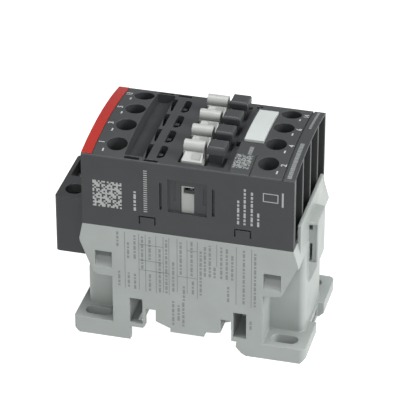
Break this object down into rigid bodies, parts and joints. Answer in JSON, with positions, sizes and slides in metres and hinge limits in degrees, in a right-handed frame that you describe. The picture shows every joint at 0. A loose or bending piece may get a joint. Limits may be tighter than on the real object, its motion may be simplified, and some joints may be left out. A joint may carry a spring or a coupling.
{
  "type": "din rail contactor",
  "caption": "Compact contactor for a 35 mm rail: dark contact housing on a pale magnet housing, sprung white accessory hooks, screw terminals at both ends, coil terminal block.",
  "frame": {"origin": "middle of the overall footprint, in the plane of the feet (z = 0)", "axes": "+X from the coil and line terminals towards the load terminals, +Y across the width from the left side to the right, +Z out of the panel, from the feet to the front with the hooks"},
  "size_m": [0.086, 0.045, 0.074],
  "materials": {
    "pale_grey_plastic": "fine moulded grain",
    "dark_grey_plastic": "fine moulded grain",
    "red_plastic": "satin",
    "white_plastic": "satin",
    "ivory_plastic": "satin",
    "black_plastic": "matte",
    "black_rubber": "matte",
    "laminated_steel": "ground laminations",
    "zinc_steel": "zinc plated",
    "spring_steel": "drawn wire",
    "copper_alloy": "plated strip",
    "enamelled_copper": "enamelled wire",
    "circuit_board": "solder mask"
  },
  "bodies": {
    "housing": {"base_housing": "pale_grey_plastic", "upper_housing": "dark_grey_plastic", "front_strip": "red_plastic", "coil_terminal_block": "dark_grey_plastic", "magnet_core": "laminated_steel", "core_pad": "black_rubber", "coil_bobbin": "black_plastic", "coil_winding": "enamelled_copper", "control_board": "circuit_board", "board_components": "black_plastic", "coil_pins": "copper_alloy", "rail_clip_spring": "spring_steel", "return_spring_1": "spring_steel", "return_spring_2": "spring_steel", "coil_contact_1": "copper_alloy", "coil_contact_2": "copper_alloy", "line_contact_1": "copper_alloy", "load_contact_1": "copper_alloy", "line_contact_2": "copper_alloy", "load_contact_2": "copper_alloy", "line_contact_3": "copper_alloy", "load_contact_3": "copper_alloy", "line_contact_4": "copper_alloy", "load_contact_4": "copper_alloy"},
    "carrier": {"contact_carrier": "ivory_plastic", "armature": "laminated_steel", "armature_pin": "zinc_steel", "armature_pad": "black_rubber", "contact_spring_1": "spring_steel", "contact_spring_2": "spring_steel", "contact_spring_3": "spring_steel", "contact_spring_4": "spring_steel"},
    "clip": {"rail_clip": "pale_grey_plastic"},
    "marker": {"marker_plate": "white_plastic"},
    "contact_1": {"moving_contact_1": "copper_alloy"},
    "contact_2": {"moving_contact_2": "copper_alloy"},
    "contact_3": {"moving_contact_3": "copper_alloy"},
    "contact_4": {"moving_contact_4": "copper_alloy"},
    "line_clamp_1": {"line_clamp_1": "zinc_steel"},
    "line_screw_1": {"line_screw_1": "zinc_steel"},
    "load_clamp_1": {"load_clamp_1": "zinc_steel"},
    "load_screw_1": {"load_screw_1": "zinc_steel"},
    "line_clamp_2": {"line_clamp_2": "zinc_steel"},
    "line_screw_2": {"line_screw_2": "zinc_steel"},
    "load_clamp_2": {"load_clamp_2": "zinc_steel"},
    "load_screw_2": {"load_screw_2": "zinc_steel"},
    "line_clamp_3": {"line_clamp_3": "zinc_steel"},
    "line_screw_3": {"line_screw_3": "zinc_steel"},
    "load_clamp_3": {"load_clamp_3": "zinc_steel"},
    "load_screw_3": {"load_screw_3": "zinc_steel"},
    "line_clamp_4": {"line_clamp_4": "zinc_steel"},
    "line_screw_4": {"line_screw_4": "zinc_steel"},
    "load_clamp_4": {"load_clamp_4": "zinc_steel"},
    "load_screw_4": {"load_screw_4": "zinc_steel"},
    "coil_clamp_1": {"coil_clamp_1": "zinc_steel"},
    "coil_screw_1": {"coil_screw_1": "zinc_steel"},
    "coil_clamp_2": {"coil_clamp_2": "zinc_steel"},
    "coil_screw_2": {"coil_screw_2": "zinc_steel"}
  },
  "joints": [
    {"name": "carrier_slide", "type": "slide", "parent": "housing", "child": "carrier", "axis": [0, 0, 1], "range_m": [-0.0045, 0], "stiffness_N_per_m": 600, "springref_m": 0.004, "deforming": ["return_spring_1", "return_spring_2"]},
    {"name": "rail_clip_slide", "type": "slide", "parent": "housing", "child": "clip", "axis": [1, 0, 0], "range_m": [0, 0.0022], "stiffness_N_per_m": 1500, "springref_m": -0.002, "deforming": ["rail_clip_spring"]},
    {"name": "marker_plate_lift", "type": "slide", "parent": "housing", "child": "marker", "axis": [0, 0, 1], "range_m": [0, 0.006]},
    {"name": "contact_1_lift", "type": "slide", "parent": "carrier", "child": "contact_1", "axis": [0, 0, 1], "range_m": [0, 0.0015], "deforming": ["contact_spring_1"]},
    {"name": "contact_2_lift", "type": "slide", "parent": "carrier", "child": "contact_2", "axis": [0, 0, 1], "range_m": [0, 0.0015], "deforming": ["contact_spring_2"]},
    {"name": "contact_3_lift", "type": "slide", "parent": "carrier", "child": "contact_3", "axis": [0, 0, 1], "range_m": [0, 0.0015], "deforming": ["contact_spring_3"]},
    {"name": "contact_4_lift", "type": "slide", "parent": "carrier", "child": "contact_4", "axis": [0, 0, 1], "range_m": [0, 0.0015], "deforming": ["contact_spring_4"]},
    {"name": "line_screw_1_turn", "type": "hinge", "parent": "line_clamp_1", "child": "line_screw_1", "pos_m": [-0.02085, -0.01545, 0.0566], "axis": [0, 0, 1], "range_deg": [-2341, 1]},
    {"name": "line_clamp_1_slide", "type": "slide", "parent": "housing", "child": "line_clamp_1", "axis": [0, 0, 1], "range_m": [-0.0039, 0]},
    {"name": "load_screw_1_turn", "type": "hinge", "parent": "load_clamp_1", "child": "load_screw_1", "pos_m": [0.02845, -0.01545, 0.0566], "axis": [0, 0, 1], "range_deg": [-2341, 1]},
    {"name": "load_clamp_1_slide", "type": "slide", "parent": "housing", "child": "load_clamp_1", "axis": [0, 0, 1], "range_m": [-0.0039, 0]},
    {"name": "line_screw_2_turn", "type": "hinge", "parent": "line_clamp_2", "child": "line_screw_2", "pos_m": [-0.02085, -0.00475, 0.0566], "axis": [0, 0, 1], "range_deg": [-2341, 1]},
    {"name": "line_clamp_2_slide", "type": "slide", "parent": "housing", "child": "line_clamp_2", "axis": [0, 0, 1], "range_m": [-0.0039, 0]},
    {"name": "load_screw_2_turn", "type": "hinge", "parent": "load_clamp_2", "child": "load_screw_2", "pos_m": [0.02845, -0.00475, 0.0566], "axis": [0, 0, 1], "range_deg": [-2341, 1]},
    {"name": "load_clamp_2_slide", "type": "slide", "parent": "housing", "child": "load_clamp_2", "axis": [0, 0, 1], "range_m": [-0.0039, 0]},
    {"name": "line_screw_3_turn", "type": "hinge", "parent": "line_clamp_3", "child": "line_screw_3", "pos_m": [-0.02085, 0.00595, 0.0566], "axis": [0, 0, 1], "range_deg": [-2341, 1]},
    {"name": "line_clamp_3_slide", "type": "slide", "parent": "housing", "child": "line_clamp_3", "axis": [0, 0, 1], "range_m": [-0.0039, 0]},
    {"name": "load_screw_3_turn", "type": "hinge", "parent": "load_clamp_3", "child": "load_screw_3", "pos_m": [0.02845, 0.00595, 0.0566], "axis": [0, 0, 1], "range_deg": [-2341, 1]},
    {"name": "load_clamp_3_slide", "type": "slide", "parent": "housing", "child": "load_clamp_3", "axis": [0, 0, 1], "range_m": [-0.0039, 0]},
    {"name": "line_screw_4_turn", "type": "hinge", "parent": "line_clamp_4", "child": "line_screw_4", "pos_m": [-0.02085, 0.01665, 0.0566], "axis": [0, 0, 1], "range_deg": [-2341, 1]},
    {"name": "line_clamp_4_slide", "type": "slide", "parent": "housing", "child": "line_clamp_4", "axis": [0, 0, 1], "range_m": [-0.0039, 0]},
    {"name": "load_screw_4_turn", "type": "hinge", "parent": "load_clamp_4", "child": "load_screw_4", "pos_m": [0.02845, 0.01665, 0.0566], "axis": [0, 0, 1], "range_deg": [-2341, 1]},
    {"name": "load_clamp_4_slide", "type": "slide", "parent": "housing", "child": "load_clamp_4", "axis": [0, 0, 1], "range_m": [-0.0039, 0]},
    {"name": "coil_screw_1_turn", "type": "hinge", "parent": "coil_clamp_1", "child": "coil_screw_1", "pos_m": [-0.0379, -0.0075, 0.0396], "axis": [0, 0, 1], "range_deg": [-2521, 1]},
    {"name": "coil_clamp_1_slide", "type": "slide", "parent": "housing", "child": "coil_clamp_1", "axis": [0, 0, 1], "range_m": [-0.0042, 0]},
    {"name": "coil_screw_2_turn", "type": "hinge", "parent": "coil_clamp_2", "child": "coil_screw_2", "pos_m": [-0.0379, 0.0075, 0.0396], "axis": [0, 0, 1], "range_deg": [-2521, 1]},
    {"name": "coil_clamp_2_slide", "type": "slide", "parent": "housing", "child": "coil_clamp_2", "axis": [0, 0, 1], "range_m": [-0.0042, 0]}
  ],
  "couplings": [
    {"joint": "contact_1_lift", "follows": "carrier_slide", "ratio": -0.33333},
    {"joint": "contact_2_lift", "follows": "carrier_slide", "ratio": -0.33333},
    {"joint": "contact_3_lift", "follows": "carrier_slide", "ratio": -0.33333},
    {"joint": "contact_4_lift", "follows": "carrier_slide", "ratio": -0.33333},
    {"joint": "line_screw_1_turn", "follows": "line_clamp_1_slide", "rad_per_m": 10472},
    {"joint": "load_screw_1_turn", "follows": "load_clamp_1_slide", "rad_per_m": 10472},
    {"joint": "line_screw_2_turn", "follows": "line_clamp_2_slide", "rad_per_m": 10472},
    {"joint": "load_screw_2_turn", "follows": "load_clamp_2_slide", "rad_per_m": 10472},
    {"joint": "line_screw_3_turn", "follows": "line_clamp_3_slide", "rad_per_m": 10472},
    {"joint": "load_screw_3_turn", "follows": "load_clamp_3_slide", "rad_per_m": 10472},
    {"joint": "line_screw_4_turn", "follows": "line_clamp_4_slide", "rad_per_m": 10472},
    {"joint": "load_screw_4_turn", "follows": "load_clamp_4_slide", "rad_per_m": 10472},
    {"joint": "coil_screw_1_turn", "follows": "coil_clamp_1_slide", "rad_per_m": 10472},
    {"joint": "coil_screw_2_turn", "follows": "coil_clamp_2_slide", "rad_per_m": 10472}
  ]
}
